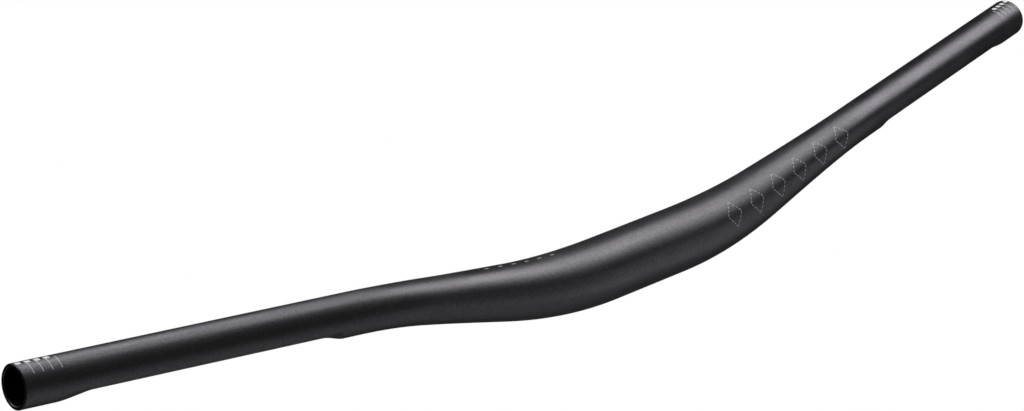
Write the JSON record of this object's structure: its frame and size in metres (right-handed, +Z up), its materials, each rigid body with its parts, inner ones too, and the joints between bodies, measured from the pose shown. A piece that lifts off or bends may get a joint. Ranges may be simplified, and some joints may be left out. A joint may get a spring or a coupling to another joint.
{
  "type": "riser handlebar",
  "caption": "Wide bicycle riser handlebar: one butted tube with a thick round clamp middle, tapered arms bent up and back, and a flat pressed under each grip.",
  "frame": {"origin": "centre of the stem clamp, on the axis of the straight middle", "axes": "+X along the clamp axis to one grip, +Y back to the rider, +Z up"},
  "size_m": [0.8038, 0.0622, 0.0705],
  "materials": {
    "bar": "bead-blasted black anodised, with laser-etched light grey marks"
  },
  "bodies": {
    "root": {"riser_bar": "bar"}
  },
  "joints": []
}
